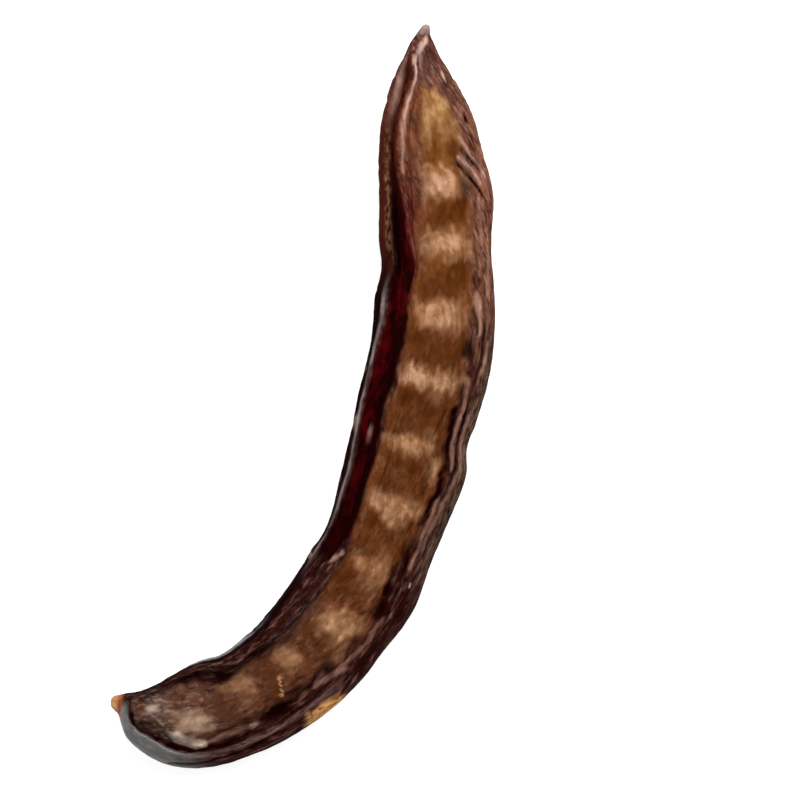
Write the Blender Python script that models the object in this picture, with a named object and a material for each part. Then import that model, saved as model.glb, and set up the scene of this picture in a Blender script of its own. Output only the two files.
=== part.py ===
"""One ripe carob pod, dry and unopened, lying on its flat side.

A pod is one grown body, so the model is one solid. Seen from above it bends like a
sickle. Two thick rims run along its margins and meet at both ends. Between them, above
and below, lies a sunken face with a low swelling over each seed. The left margin is
hollowed out between its two lips, and the right one has only a narrow seam. One end
tapers to the broken stalk, and the other is blunt and carries the small dry beak.

The origin is on the surface under the pod, at the middle of its outline. X and Y lie in
that surface, Y along the pod's length towards the stalk, and Z points up.
"""

import math

import bmesh
import bpy
import numpy as np
from mathutils import Vector, noise

MM = 0.001

# Both margins as seen from above, in millimetres, from the stalk's end to the beak's tip.
# Points with the same number face each other across the pod. Only their places relative
# to each other count, because the finished shape is centred on the origin.
LEFT_MARGIN = (
    (22.3, 67.5), (21.9, 67.3), (21.4, 66.7), (20.5, 65.5), (19.5, 64.0), (18.4, 61.6),
    (17.1, 59.1), (14.5, 50.7), (13.8, 42.4), (13.9, 35.3), (13.9, 27.9), (14.3, 22.5),
    (13.3, 18.4), (12.8, 13.5), (11.7, 6.8), (9.9, -1.0), (9.1, -4.8), (8.3, -8.6),
    (6.7, -15.3), (4.7, -22.7), (1.6, -27.9), (-2.1, -33.6), (-6.2, -39.2), (-10.3, -43.4),
    (-14.9, -47.1), (-19.5, -48.7), (-23.8, -50.8), (-27.6, -53.1), (-30.2, -54.0),
    (-32.3, -54.2), (-33.5, -54.5), (-34.5, -54.8), (-34.9, -55.3), (-35.0, -55.8),
)
RIGHT_MARGIN = (
    (22.3, 67.5), (22.9, 67.3), (23.1, 66.8), (23.2, 65.6), (23.9, 64.0), (24.9, 61.8),
    (26.2, 59.7), (30.4, 52.4), (32.7, 44.9), (34.7, 36.4), (34.3, 27.9), (34.4, 23.8),
    (34.9, 20.0), (34.9, 10.7), (33.5, 1.7), (31.3, -5.7), (30.0, -9.5), (29.9, -13.7),
    (26.9, -22.1), (23.7, -29.7), (20.2, -38.9), (15.0, -46.2), (9.5, -53.1), (1.7, -59.5),
    (-7.0, -64.3), (-17.4, -67.5), (-23.6, -67.2), (-28.4, -65.0), (-31.6, -62.2),
    (-32.9, -59.6), (-33.6, -58.0), (-34.5, -57.0), (-34.9, -56.4), (-35.0, -55.8),
)

# Each table below pairs a distance from the stalk's end, in millimetres, with a value.
THICKNESS = (
    (0.0, 1.0), (0.5, 1.5), (2.0, 2.0), (4.0, 3.2), (8.0, 5.4), (16.0, 7.8), (28.0, 9.2),
    (60.0, 9.7), (110.0, 9.4), (143.0, 8.9), (152.0, 8.2), (155.0, 7.5), (156.5, 6.6),
    (157.6, 4.4), (158.5, 2.4), (159.6, 1.7), (160.2, 1.0),
)
# The gap between the pod's underside and the surface. The pod presses on it at three places.
CLEARANCE = (
    (0.0, 4.6), (12.0, 1.8), (27.0, -0.3), (42.0, 0.6), (57.0, 1.2), (72.0, 0.6),
    (86.0, -0.3), (102.0, 0.6), (118.0, 1.1), (132.0, 0.5), (145.0, -0.3), (152.0, 0.6),
    (157.6, 2.4), (160.2, 3.6),
)
# Roll about the pod's length in degrees, positive where the left margin is the higher one.
ROLL = (
    (0.0, 16.0), (20.0, 24.0), (60.0, 27.0), (95.0, 22.0), (125.0, 9.0), (145.0, 0.0),
    (160.2, 0.0),
)
# How wide each rim is, as a share of its full width.
RIGHT_RIM_WIDTH = (
    (0.0, 1.0), (100.0, 1.0), (135.0, 0.76), (143.0, 0.67), (148.0, 0.74), (152.0, 0.95),
    (160.2, 1.0),
)
LEFT_RIM_WIDTH = (
    (0.0, 1.0), (100.0, 1.0), (135.0, 0.75), (148.0, 0.5), (155.0, 0.4), (160.2, 0.4),
)
# How fully the cross-section has its rims, as a share. It is a plain oval at 0.
FORM = (
    (0.0, 0.0), (2.0, 0.2), (9.0, 1.0), (153.0, 1.0), (157.0, 0.5), (158.5, 0.0), (160.2, 0.0),
)
# How deep the face lies below the rims, as a share of its full depth.
FACE_DEPTH = (
    (0.0, 0.0), (2.0, 0.1), (8.0, 0.5), (20.0, 1.0), (151.0, 1.0), (153.4, 0.8), (154.8, 0.0),
    (160.2, 0.0),
)
# How much further in from the left margin its upper lip stands, in millimetres.
LIP_SETBACK = (
    (0.0, 0.0), (5.0, 1.9), (10.0, 2.5), (14.0, 1.3), (19.0, 0.4), (26.0, 0.0), (38.0, 0.0),
    (54.0, 1.6), (102.0, 1.6), (122.0, 0.4), (140.0, 0.0), (160.2, 0.0),
)
# How high the face's two feet lie, as a share of the half thickness.
RIGHT_FOOT_HEIGHT = (
    (0.0, 0.86), (30.0, 0.84), (46.0, 0.74), (62.0, 0.56), (130.0, 0.54), (146.0, 0.36),
    (160.2, 0.36),
)
LEFT_FOOT_HEIGHT = (
    (0.0, 0.64), (42.0, 0.66), (54.0, 0.86), (102.0, 0.84), (118.0, 0.66), (160.2, 0.56),
)
# How far the middle of the swellings lies to the left of the pod's own middle, in millimetres.
SWELL_SHIFT = (
    (0.0, 1.0), (25.0, 1.8), (60.0, 2.2), (95.0, 2.0), (125.0, 1.0), (150.0, 0.2), (160.2, 0.0),
)
# Where the swelling over each seed starts, and where the last one ends.
SEED_STARTS = (12.2, 26.0, 38.7, 50.6, 62.5, 75.3, 86.6, 98.4, 109.0, 120.4, 130.6, 141.2, 151.5)

# The upper half of the cross-section, from the right seam to the left one. A rim's points
# are a distance in from the pod's edge, in millimetres, and a share of the half thickness.
RIGHT_RIM = ((1.0, 0.00), (0.1, 0.33), (1.2, 0.72), (2.8, 0.94), (4.7, 1.00))
LEFT_RIM = ((2.4, 0.92), (1.2, 1.00), (0.1, 0.80), (0.5, 0.50), (2.3, 0.00))
# The face's points are places from 0 at its right foot to 1 at its left one. Away from its
# feet it lies at this share of the half thickness.
FACE_PLACES = (0.0, 0.2, 0.5, 0.8, 1.0)
FACE_HEIGHT = 0.68
# How far in from the pod's edge the face's feet lie.
RIGHT_FOOT = 6.5 * MM
LEFT_FOOT = 3.7 * MM
# A foot's own height tells over this share of the face's width.
FOOT_REACH = 0.4
# How much of the upper lip's setback the face's left foot shares.
FOOT_SETBACK = 0.4
# Where half the pod's width is less than this, the rims get narrower with it.
FULL_RIM_HALF_WIDTH = 7.0 * MM

# A swelling is steep on the side towards the stalk, because its crest lies at this share
# of its length. Its sides lie further from the stalk than its middle, by its arch.
SWELL_HEIGHT = 1.15 * MM
SWELL_CREST = 0.34
SWELL_ARCH = 2.2 * MM
SWELL_FULLNESS = 0.6
UNEVEN_HEIGHT = 0.25 * MM
UNEVEN_LENGTH = 9.0 * MM

RINGS = 96
AROUND = 56
# Near each end the rings stand closer together, over a stretch of about this length.
CROWDED_LENGTH = 4.0 * MM
CROWDING = 1.5
CROWDING_STEPS = 4000

COLOUR = (0.105, 0.040, 0.020, 1.0)
ROUGHNESS = 0.42


def smooth_curve(knots, values, at):
    """The values at the knots joined by a smooth curve, read at every place in at."""
    slopes = np.gradient(values, knots, axis=0)
    span = np.clip(np.searchsorted(knots, at, side="right") - 1, 0, len(knots) - 2)
    step = knots[span + 1] - knots[span]
    u = (at - knots[span]) / step
    if values.ndim > 1:
        step = step[:, None]
        u = u[:, None]
    start = (1 + 2 * u) * (1 - u) ** 2 * values[span] + u * (1 - u) ** 2 * step * slopes[span]
    end = u**2 * (3 - 2 * u) * values[span + 1] + u**2 * (u - 1) * step * slopes[span + 1]
    return start + end


def along(table, distance):
    """A table's value at every distance, which is in metres."""
    places, values = np.array(table).T
    return smooth_curve(places * MM, values, distance)


def edge_distances(left, right):
    """How far along the pod each pair of margin points lies."""
    steps = np.linalg.norm(np.diff((left + right) / 2, axis=0), axis=1)
    return np.concatenate([[0.0], np.cumsum(steps)])


def ring_distances(rings, length):
    """How far along the pod each ring lies, without the two ends."""
    fine = np.linspace(0.0, length, CROWDING_STEPS)
    crowd = np.exp(-fine / CROWDED_LENGTH) + np.exp((fine - length) / CROWDED_LENGTH)
    count = np.cumsum(1 + CROWDING * crowd)
    shares = (count - count[0]) / (count[-1] - count[0])
    return np.interp(np.arange(1, rings) / rings, shares, fine)


def half_section(distance, half_width, rims, depth, setback):
    """The points of one half, from the right seam to the left one, for every ring."""
    right_rim, left_rim = rims
    points = []
    for inset, share in RIGHT_RIM:
        points.append((half_width - inset * MM * right_rim, np.full_like(depth, share)))
    right_foot = half_width - RIGHT_FOOT * right_rim
    left_foot = half_width - LEFT_FOOT * left_rim - FOOT_SETBACK * setback
    right_lift = along(RIGHT_FOOT_HEIGHT, distance) - FACE_HEIGHT
    left_lift = along(LEFT_FOOT_HEIGHT, distance) - FACE_HEIGHT
    for place in FACE_PLACES:
        x = right_foot - (right_foot + left_foot) * place
        near_right = max(0.0, 1 - place / FOOT_REACH) ** 1.5
        near_left = max(0.0, 1 - (1 - place) / FOOT_REACH) ** 1.5
        share = FACE_HEIGHT + right_lift * near_right + left_lift * near_left
        points.append((x, 1 - (1 - share) * depth))
    for inset, share in LEFT_RIM:
        x = inset * MM * left_rim + setback * share - half_width
        points.append((x, np.full_like(depth, share)))
    return np.array(points).transpose(2, 0, 1)


def section(distance, half_width, half_thickness, rims, form, depth, setback, around):
    """The closed cross-section of every ring, as this many points around each."""
    upper = half_section(distance, half_width, rims, depth, setback)
    lower = half_section(distance, half_width, rims, depth, 0 * setback)
    lower = lower[:, -2:0:-1] * (1, -1)
    controls = np.concatenate([upper, lower], axis=1)
    controls[:, :, 1] *= half_thickness[:, None]
    count = controls.shape[1]
    turns = np.arange(count) * math.tau / count
    oval = np.stack([np.cos(turns), np.sin(turns)], axis=1)
    oval = oval * np.stack([half_width, half_thickness], axis=1)[:, None]
    controls = oval + form[:, None, None] * (controls - oval)

    place = np.arange(around) * count / around
    index = np.floor(place).astype(int)
    u = (place - index)[None, :, None]
    before, here, after, beyond = (controls[:, (index + k) % count] for k in (-1, 0, 1, 2))
    linear = after - before
    square = 2 * before - 5 * here + 4 * after - beyond
    cube = 3 * (here - after) + beyond - before
    return here + 0.5 * u * (linear + u * (square + u * cube))


def seed_swell(distance, across):
    """How far the face swells over the seeds. Across is 0 in its middle and 1 at its feet."""
    starts = np.array(SEED_STARTS) * MM
    place = np.clip(distance - SWELL_ARCH * across**2, starts[0], starts[-1])
    seed = np.clip(np.searchsorted(starts, place, side="right") - 1, 0, len(starts) - 2)
    share = (place - starts[seed]) / (starts[seed + 1] - starts[seed])
    wave = np.sin(math.pi * share ** (math.log(0.5) / math.log(SWELL_CREST)))
    return SWELL_HEIGHT * wave * (1 - across**2) ** SWELL_FULLNESS


def unevenness(points):
    """A slow wander of the surface, as on anything grown, at every point."""
    flat = points.reshape(-1, 3) / UNEVEN_LENGTH
    return np.array([noise.noise(Vector(point)) for point in flat]).reshape(points.shape[:-1])


def pod_rings(rings, around):
    """Points on the pod's surface, ring by ring, with its stalk's end and its beak's tip."""
    left = np.array(LEFT_MARGIN) * MM
    right = np.array(RIGHT_MARGIN) * MM
    knots = edge_distances(left, right)
    distance = ring_distances(rings, knots[-1])

    edge = smooth_curve(knots, left, distance)
    across = smooth_curve(knots, right, distance) - edge
    half_width = np.linalg.norm(across, axis=1) / 2
    half_thickness = along(THICKNESS, distance) * MM / 2
    shrink = np.minimum(1.0, half_width / FULL_RIM_HALF_WIDTH)
    rims = along(RIGHT_RIM_WIDTH, distance) * shrink, along(LEFT_RIM_WIDTH, distance) * shrink
    form = np.clip(along(FORM, distance), 0, 1)
    depth = np.clip(along(FACE_DEPTH, distance), 0, 1)
    setback = np.clip(along(LIP_SETBACK, distance), 0, None) * MM * shrink
    outline = section(
        distance, half_width, half_thickness, rims, form, depth, setback, around
    )
    x = outline[:, :, 0]
    z = outline[:, :, 1]

    middle = (-along(SWELL_SHIFT, distance) * MM)[:, None]
    right_half = (half_width - RIGHT_FOOT * rims[0])[:, None] - middle
    left_half = (half_width - LEFT_FOOT * rims[1])[:, None] + middle
    reach = np.maximum(np.where(x > middle, right_half, left_half), MM)
    from_middle = np.clip(np.abs(x - middle) / reach, 0, 1)
    z = z + np.sign(z) * depth[:, None] * seed_swell(distance[:, None], from_middle)

    roll = np.radians(along(ROLL, distance))[:, None]
    level_x = x * np.cos(roll) + z * np.sin(roll)
    level_z = z * np.cos(roll) - x * np.sin(roll)
    low = level_x.min(axis=1, keepdims=True)
    high = level_x.max(axis=1, keepdims=True)
    from_left = ((level_x - low) / (high - low))[:, :, None]
    level = edge[:, None] + from_left * across[:, None]
    points = np.concatenate([level, level_z[:, :, None]], axis=2)
    height = level_z + UNEVEN_HEIGHT * unevenness(points)

    height += along(CLEARANCE, distance)[:, None] * MM - height.min(axis=1, keepdims=True)
    points[:, :, 2] = np.maximum(height, 0.0)
    stalk_end = np.append(left[0], points[0, :, 2].mean())
    beak_tip = np.append(left[-1], points[-1, :, 2].mean())
    return points, stalk_end, beak_tip


def pod_mesh():
    """The pod as a mesh: a sphere whose poles become the two ends."""
    points, stalk_end, beak_tip = pod_rings(RINGS, AROUND)
    shape = bmesh.new()
    bmesh.ops.create_uvsphere(shape, u_segments=AROUND, v_segments=RINGS, radius=1.0)
    for vertex in shape.verts:
        ring = round(math.acos(max(-1.0, min(1.0, vertex.co.z))) / math.pi * RINGS)
        turn = round(math.atan2(vertex.co.y, vertex.co.x) / math.tau * AROUND) % AROUND
        if ring == 0:
            vertex.co = stalk_end
        elif ring == RINGS:
            vertex.co = beak_tip
        else:
            vertex.co = points[ring - 1, turn]
    bmesh.ops.recalc_face_normals(shape, faces=shape.faces)

    low = [min(vertex.co[axis] for vertex in shape.verts) for axis in range(3)]
    high = [max(vertex.co[axis] for vertex in shape.verts) for axis in range(3)]
    middle = Vector(((low[0] + high[0]) / 2, (low[1] + high[1]) / 2, 0.0))
    bmesh.ops.translate(shape, verts=shape.verts, vec=-middle)

    mesh = bpy.data.meshes.new("pod")
    shape.to_mesh(mesh)
    shape.free()
    mesh.shade_smooth()
    return mesh


def pod_material():
    material = bpy.data.materials.new("dry pod skin")
    material.use_nodes = True
    shader = material.node_tree.nodes["Principled BSDF"]
    shader.inputs["Base Color"].default_value = COLOUR
    shader.inputs["Roughness"].default_value = ROUGHNESS
    shader.inputs["Metallic"].default_value = 0.0
    return material


def main():
    for thing in list(bpy.data.objects):
        bpy.data.objects.remove(thing)
    collection = bpy.data.collections.new("carob pod")
    bpy.context.scene.collection.children.link(collection)
    pod = bpy.data.objects.new("pod", pod_mesh())
    pod.data.materials.append(pod_material())
    collection.objects.link(pod)


main()
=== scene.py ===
"""The looks of one ripe, dry carob pod, lying on a pale floor and seen from straight above.

The pod is one skin, so it is one fine mesh. It follows the same margins, tables and formulas
as the solid, with the creases, wrinkles and seams that the solid is too coarse for. Each
point of it also knows where it lies on the straightened pod, and how far it belongs to a
face, a lip, a worn patch, a crease or one of the two ends. The material works from that, and
paints some light and shade into the colour: highlights and reflections on the worn patches,
ridges and lips, and shade in the creases, pits and hollow.
"""

import math

import bpy
import numpy as np
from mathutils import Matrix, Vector, noise


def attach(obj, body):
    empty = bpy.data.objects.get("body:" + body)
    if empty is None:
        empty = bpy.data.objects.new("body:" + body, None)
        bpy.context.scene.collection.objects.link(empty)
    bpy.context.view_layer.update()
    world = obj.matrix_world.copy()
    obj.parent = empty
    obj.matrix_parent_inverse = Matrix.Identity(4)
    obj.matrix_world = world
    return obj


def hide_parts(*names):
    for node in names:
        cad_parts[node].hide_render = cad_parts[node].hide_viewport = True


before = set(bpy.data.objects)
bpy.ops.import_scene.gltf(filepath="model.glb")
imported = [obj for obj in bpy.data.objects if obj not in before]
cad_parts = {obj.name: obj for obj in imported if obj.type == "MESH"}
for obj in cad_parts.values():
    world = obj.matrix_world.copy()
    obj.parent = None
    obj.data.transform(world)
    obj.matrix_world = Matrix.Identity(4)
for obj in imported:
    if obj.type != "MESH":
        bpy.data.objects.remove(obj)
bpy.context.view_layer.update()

MM = 0.001

# Both margins as seen from above, in millimetres, from the stalk's end to the beak's tip.
LEFT_MARGIN = (
    (22.3, 67.5), (21.9, 67.3), (21.4, 66.7), (20.5, 65.5), (19.5, 64.0), (18.4, 61.6),
    (17.1, 59.1), (14.5, 50.7), (13.8, 42.4), (13.9, 35.3), (13.9, 27.9), (14.3, 22.5),
    (13.3, 18.4), (12.8, 13.5), (11.7, 6.8), (9.9, -1.0), (9.1, -4.8), (8.3, -8.6),
    (6.7, -15.3), (4.7, -22.7), (1.6, -27.9), (-2.1, -33.6), (-6.2, -39.2), (-10.3, -43.4),
    (-14.9, -47.1), (-19.5, -48.7), (-23.8, -50.8), (-27.6, -53.1), (-30.2, -54.0),
    (-32.3, -54.2), (-33.5, -54.5), (-34.5, -54.8), (-34.9, -55.3), (-35.0, -55.8),
)
RIGHT_MARGIN = (
    (22.3, 67.5), (22.9, 67.3), (23.1, 66.8), (23.2, 65.6), (23.9, 64.0), (24.9, 61.8),
    (26.2, 59.7), (30.4, 52.4), (32.7, 44.9), (34.7, 36.4), (34.3, 27.9), (34.4, 23.8),
    (34.9, 20.0), (34.9, 10.7), (33.5, 1.7), (31.3, -5.7), (30.0, -9.5), (29.9, -13.7),
    (26.9, -22.1), (23.7, -29.7), (20.2, -38.9), (15.0, -46.2), (9.5, -53.1), (1.7, -59.5),
    (-7.0, -64.3), (-17.4, -67.5), (-23.6, -67.2), (-28.4, -65.0), (-31.6, -62.2),
    (-32.9, -59.6), (-33.6, -58.0), (-34.5, -57.0), (-34.9, -56.4), (-35.0, -55.8),
)

# Each table below pairs a distance from the stalk's end, in millimetres, with a value.
THICKNESS = (
    (0.0, 1.0), (0.5, 1.5), (2.0, 2.0), (4.0, 3.2), (8.0, 5.4), (16.0, 7.8), (28.0, 9.2),
    (60.0, 9.7), (110.0, 9.4), (143.0, 8.9), (152.0, 8.2), (155.0, 7.5), (156.5, 6.6),
    (157.6, 4.4), (158.5, 2.4), (159.6, 1.7), (160.2, 1.0),
)
# The gap between the pod's underside and the floor.
CLEARANCE = (
    (0.0, 4.6), (12.0, 1.8), (27.0, -0.3), (42.0, 0.6), (57.0, 1.2), (72.0, 0.6),
    (86.0, -0.3), (102.0, 0.6), (118.0, 1.1), (132.0, 0.5), (145.0, -0.3), (152.0, 0.6),
    (157.6, 2.4), (160.2, 3.6),
)
# Roll about the pod's length in degrees, positive where the left margin is the higher one.
ROLL = (
    (0.0, 16.0), (20.0, 24.0), (60.0, 27.0), (95.0, 22.0), (125.0, 9.0), (145.0, 0.0),
    (160.2, 0.0),
)
# How wide each rim is, as a share of its full width.
RIGHT_RIM_WIDTH = (
    (0.0, 1.0), (100.0, 1.0), (135.0, 0.76), (143.0, 0.67), (148.0, 0.74), (152.0, 0.95),
    (160.2, 1.0),
)
LEFT_RIM_WIDTH = (
    (0.0, 1.0), (100.0, 1.0), (135.0, 0.75), (148.0, 0.5), (155.0, 0.4), (160.2, 0.4),
)
# How fully the cross-section has its rims, as a share. It is a plain oval at 0.
FORM = (
    (0.0, 0.0), (2.0, 0.2), (9.0, 1.0), (153.0, 1.0), (157.0, 0.5), (158.5, 0.0), (160.2, 0.0),
)
# How deep the face lies below the rims, as a share of its full depth.
FACE_DEPTH = (
    (0.0, 0.0), (2.0, 0.1), (8.0, 0.5), (20.0, 1.0), (151.0, 1.0), (153.4, 0.8), (154.8, 0.0),
    (160.2, 0.0),
)
# How much further in from the left margin its upper lip stands, in millimetres.
LIP_SETBACK = (
    (0.0, 0.0), (5.0, 1.9), (10.0, 2.5), (14.0, 1.3), (19.0, 0.4), (26.0, 0.0), (38.0, 0.0),
    (54.0, 1.6), (102.0, 1.6), (122.0, 0.4), (140.0, 0.0), (160.2, 0.0),
)
# How high the face's two feet lie, as a share of the half thickness.
RIGHT_FOOT_HEIGHT = (
    (0.0, 0.86), (30.0, 0.84), (46.0, 0.74), (62.0, 0.56), (130.0, 0.54), (146.0, 0.36),
    (160.2, 0.36),
)
LEFT_FOOT_HEIGHT = (
    (0.0, 0.64), (42.0, 0.66), (54.0, 0.86), (102.0, 0.84), (118.0, 0.66), (160.2, 0.56),
)
# How far the middle of the swellings lies to the left of the pod's own middle, in millimetres.
SWELL_SHIFT = (
    (0.0, 1.0), (25.0, 1.8), (60.0, 2.2), (95.0, 2.0), (125.0, 1.0), (150.0, 0.2), (160.2, 0.0),
)
# Where the swelling over each seed starts, and where the last one ends, in millimetres.
SEED_STARTS = (
    12.2, 26.0, 38.7, 50.6, 62.5, 75.3, 86.6, 98.4, 109.0, 120.4, 130.6, 141.2, 151.5,
)

# The upper half of the cross-section, from the right seam to the left one. A rim's points
# are a distance in from the pod's edge, in millimetres, and a share of the half thickness.
RIGHT_RIM = ((1.0, 0.00), (0.1, 0.33), (1.2, 0.72), (2.8, 0.94), (4.7, 1.00))
LEFT_RIM = ((2.4, 0.92), (1.2, 1.00), (0.1, 0.80), (0.5, 0.50), (2.3, 0.00))
# The face's points are places from 0 at its right foot to 1 at its left one.
FACE_PLACES = (0.0, 0.2, 0.5, 0.8, 1.0)
FACE_HEIGHT = 0.68
# How far in from the pod's edge the face's feet lie.
RIGHT_FOOT = 6.5 * MM
LEFT_FOOT = 3.7 * MM
# A foot's own height tells over this share of the face's width.
FOOT_REACH = 0.4
# How much of the upper lip's setback the face's left foot shares.
FOOT_SETBACK = 0.4
# Where half the pod's width is less than this, the rims get narrower with it.
FULL_RIM_HALF_WIDTH = 7.0 * MM

# A swelling is highest at this share of its length, and its sides lie further from the stalk
# than its middle, by its arch.
SWELL_HEIGHT = 1.15 * MM
SWELL_CREST = 0.34
SWELL_ARCH = 2.2 * MM
SWELL_FULLNESS = 0.6
UNEVEN_HEIGHT = 0.25 * MM
UNEVEN_LENGTH = 9.0 * MM

RINGS = 428
AROUND = 224
# Near each end the rings stand closer together, over a stretch of about this length.
CROWDED_LENGTH = 4.0 * MM
CROWDING = 1.5
CROWDING_STEPS = 4000

# The place of the left seam round the cross-section, where 0 is the right seam. The right rim
# lies between 0 and 5, the upper face between 5 and 9, and the left rim beyond. The lower half
# follows in the same steps, back to the right seam.
LEFT_SEAM = 14

# Where the colour of a face ends, as places round the cross-section.
FACE_RIGHT_EDGE = (
    (0.0, 4.6), (15.0, 4.6), (19.0, 4.4), (24.0, 4.6), (30.0, 5.7), (34.0, 4.6), (40.0, 4.4),
    (56.0, 4.9), (75.0, 4.5), (96.0, 5.0), (103.0, 5.7), (110.0, 5.1), (118.0, 5.7),
    (130.0, 6.0), (135.0, 5.5), (146.0, 5.0), (160.2, 4.9),
)
FACE_LEFT_EDGE = (
    (0.0, 8.7), (14.0, 8.5), (30.0, 8.2), (40.0, 8.8), (47.0, 9.8), (52.0, 10.8), (66.0, 11.2),
    (96.0, 11.2), (104.0, 10.0), (112.0, 8.9), (130.0, 8.5), (142.0, 8.3), (148.0, 9.4),
    (152.0, 10.8), (160.2, 10.8),
)
# Where the hollow under the left rim's upper lip starts, painted dark there as shade.
HOLLOW_START = (
    (0.0, 11.9), (8.0, 11.6), (28.0, 11.5), (36.0, 11.0), (42.0, 10.6), (46.0, 10.3),
    (50.0, 10.9), (56.0, 11.2), (66.0, 11.5), (72.0, 11.9), (80.0, 11.6), (96.0, 11.7),
    (110.0, 12.0), (160.2, 12.0),
)
# The place of the painted highlight line along the edge of the lower lip.
LIP_LINE = (
    (0.0, 14.75), (20.0, 14.9), (38.0, 14.9), (48.0, 14.8), (54.0, 14.8), (62.0, 15.05),
    (72.0, 15.12), (85.0, 14.95), (96.0, 15.2), (110.0, 14.9), (160.2, 14.9),
)

# These two pair a place with a distance: the groove where the face meets the blunt end, and
# the painted pink highlight on the crest that crosses the stalk end.
END_GROOVE = (
    (0.0, 152.0), (4.0, 152.6), (4.6, 154.0), (5.2, 154.8), (6.2, 155.3), (7.2, 155.6),
    (10.0, 155.7), (14.0, 155.4),
)
STALK_CREST = ((4.6, 2.7), (6.5, 3.6), (8.5, 4.6), (10.0, 5.6), (11.0, 7.0))

# Where each mark of the rims comes in along the pod, and where it fades out.
HOLLOW_STRETCH = ((4.0, 8.0), (101.0, 108.0))
INNER_LIP_STRETCH = ((10.0, 14.0), (50.0, 60.0))
PINK_HIGHLIGHT_STRETCH = ((6.0, 8.0), (8.0, 30.0))
GOLD_HIGHLIGHT_STRETCH = ((16.0, 22.0), (38.0, 46.0))
LOW_OUTSIDE_STRETCH = ((16.0, 22.0), (44.0, 52.0))
LILAC_HIGHLIGHT_STRETCH = ((44.0, 52.0), (98.0, 112.0))
SILVER_REFLECTION_STRETCH = ((118.0, 128.0), (142.0, 150.0))
OLIVE_STRETCH = ((54.0, 64.0), (92.0, 106.0))
PLUM_STRETCH = ((96.0, 106.0), (114.0, 128.0))

# A patch is a rounded square with ragged edges. It is gone at the first of these reaches, and
# full at the second.
PATCH_EDGE = (1.30, 0.25)
PATCH_SQUARENESS = 2.5

# Each patch has its distance in millimetres and its place, how far it reaches along and across
# the pod, and its strength. The light, golden, dark and black ones are on both faces. The light
# ones are worn places over the seeds, lightened further as painted highlight on their slopes
# that face the light.
WORN_AND_HIGHLIGHT_PATCHES = (
    (21.0, 5.9, 2.4, 1.0, 0.30), (29.6, 6.9, 3.4, 1.4, 0.95), (27.6, 4.8, 2.6, 0.5, 0.45),
    (40.7, 6.4, 3.5, 2.0, 0.95), (41.5, 8.2, 2.6, 0.7, 0.50), (42.4, 4.4, 2.2, 0.4, 0.35),
    (53.2, 7.2, 3.4, 2.4, 0.76), (52.0, 9.0, 2.6, 1.4, 0.45), (51.8, 4.1, 2.0, 0.4, 0.60),
    (64.8, 8.8, 2.5, 3.2, 1.00), (64.6, 5.8, 2.6, 1.5, 0.85), (67.0, 6.6, 2.4, 0.8, 0.40),
    (76.0, 5.7, 2.8, 0.9, 0.70), (80.6, 5.3, 2.8, 0.7, 0.75), (77.3, 7.4, 2.2, 1.2, 0.80),
    (77.2, 9.5, 1.8, 2.2, 0.60), (89.2, 7.1, 3.2, 1.2, 0.80), (88.2, 5.6, 2.4, 1.0, 0.70),
    (88.2, 9.5, 2.2, 2.4, 0.75), (100.4, 6.6, 4.2, 1.0, 0.55), (100.3, 7.9, 1.5, 0.6, 0.65),
    (99.0, 9.0, 1.6, 1.4, 0.30), (112.0, 6.9, 3.4, 1.5, 0.85), (110.0, 5.7, 2.4, 0.5, 0.60),
    (122.4, 7.7, 2.8, 0.9, 0.50), (124.8, 5.2, 1.6, 0.4, 0.25), (132.4, 7.7, 2.4, 1.2, 0.42),
    (143.8, 6.4, 4.2, 0.9, 0.50), (116.2, 5.5, 2.8, 0.5, 0.55),
)
# The golden skin at the stalk end of the face, and a faint spot of it at the blunt end.
GOLD_PATCHES = (
    (15.4, 5.5, 2.8, 1.2, 1.00), (17.0, 6.5, 3.8, 1.5, 0.60), (18.6, 7.5, 5.0, 0.5, 0.70),
    (13.6, 7.0, 1.8, 1.5, 0.20), (20.5, 4.5, 3.0, 0.6, 0.40), (136.0, 7.9, 2.8, 0.5, 0.25),
)
# The darker brown between the seeds, with painted shade on the slope below each swelling.
DARK_AND_SHADE_PATCHES = (
    (23.6, 5.2, 3.4, 1.0, 0.50), (24.5, 7.2, 2.2, 0.7, 0.35), (34.6, 5.8, 3.0, 1.1, 0.95),
    (35.6, 7.1, 4.0, 0.8, 0.70), (45.2, 5.6, 3.0, 1.1, 0.95), (48.4, 6.9, 3.4, 1.1, 0.80),
    (47.0, 8.4, 2.6, 0.7, 0.40), (58.4, 9.4, 3.0, 2.2, 0.80), (59.6, 6.9, 4.0, 1.1, 0.65),
    (57.8, 5.3, 2.4, 0.6, 0.50), (68.4, 9.0, 2.2, 2.2, 0.95), (69.6, 6.6, 3.4, 0.9, 0.60),
    (80.4, 7.0, 2.6, 0.7, 0.85), (80.2, 9.2, 2.0, 2.0, 0.60), (84.0, 5.6, 1.8, 0.9, 0.60),
    (91.8, 9.4, 2.2, 2.0, 0.90), (93.4, 6.9, 3.0, 0.9, 0.50), (103.6, 9.2, 2.6, 1.6, 0.90),
    (105.6, 7.4, 2.6, 1.0, 0.45), (115.6, 8.3, 2.4, 0.8, 0.50), (117.0, 6.8, 3.4, 1.0, 0.45),
    (127.4, 8.2, 3.0, 0.9, 0.60), (129.0, 7.0, 2.4, 0.8, 0.45), (137.8, 7.1, 2.4, 0.9, 0.60),
    (146.6, 7.8, 2.6, 0.6, 0.50), (150.0, 6.5, 1.6, 0.3, 0.50),
)
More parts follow.
